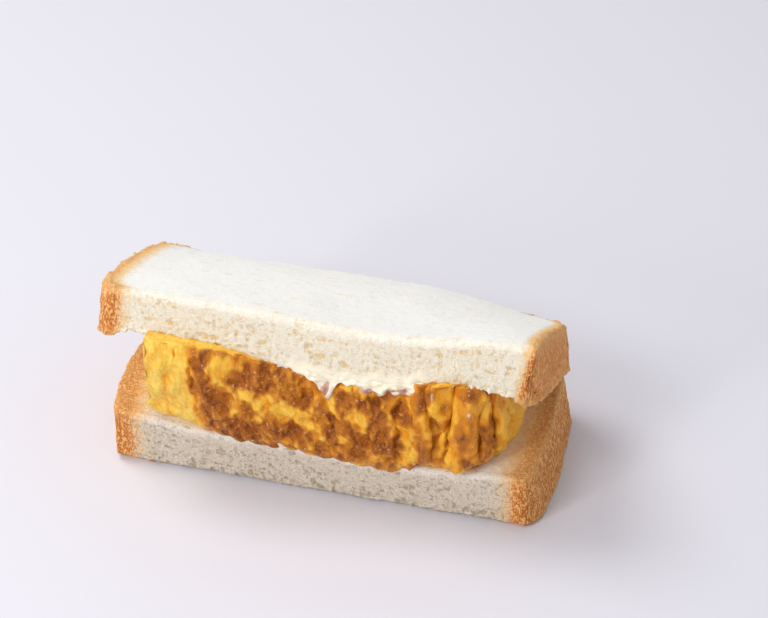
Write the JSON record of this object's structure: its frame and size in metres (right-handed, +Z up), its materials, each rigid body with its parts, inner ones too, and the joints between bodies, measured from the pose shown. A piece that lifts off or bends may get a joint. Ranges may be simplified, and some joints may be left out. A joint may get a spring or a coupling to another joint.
{
  "type": "eel omelette sandwich",
  "caption": "Half of a white bread sandwich cut across the middle, gaping at the cut side, with a thick folded omelette and a smear of mayonnaise inside.",
  "frame": {"origin": "under the middle of the whole, on the surface that the lower slice stands on", "axes": "+X along the cut side, -Y out of the cut side, +Z up"},
  "size_m": [0.1302, 0.0694, 0.0604],
  "materials": {
    "bread": "soft white crumb with small pores, golden brown crust on the loaf's sides",
    "omelette": "moist yellow egg, mottled brown where it was fried",
    "mayonnaise": "pale, glossy and slightly translucent"
  },
  "bodies": {
    "root": {"bread_lower": "bread", "bread_upper": "bread", "omelette": "omelette", "mayonnaise_upper": "mayonnaise", "mayonnaise_lower": "mayonnaise"}
  },
  "joints": []
}
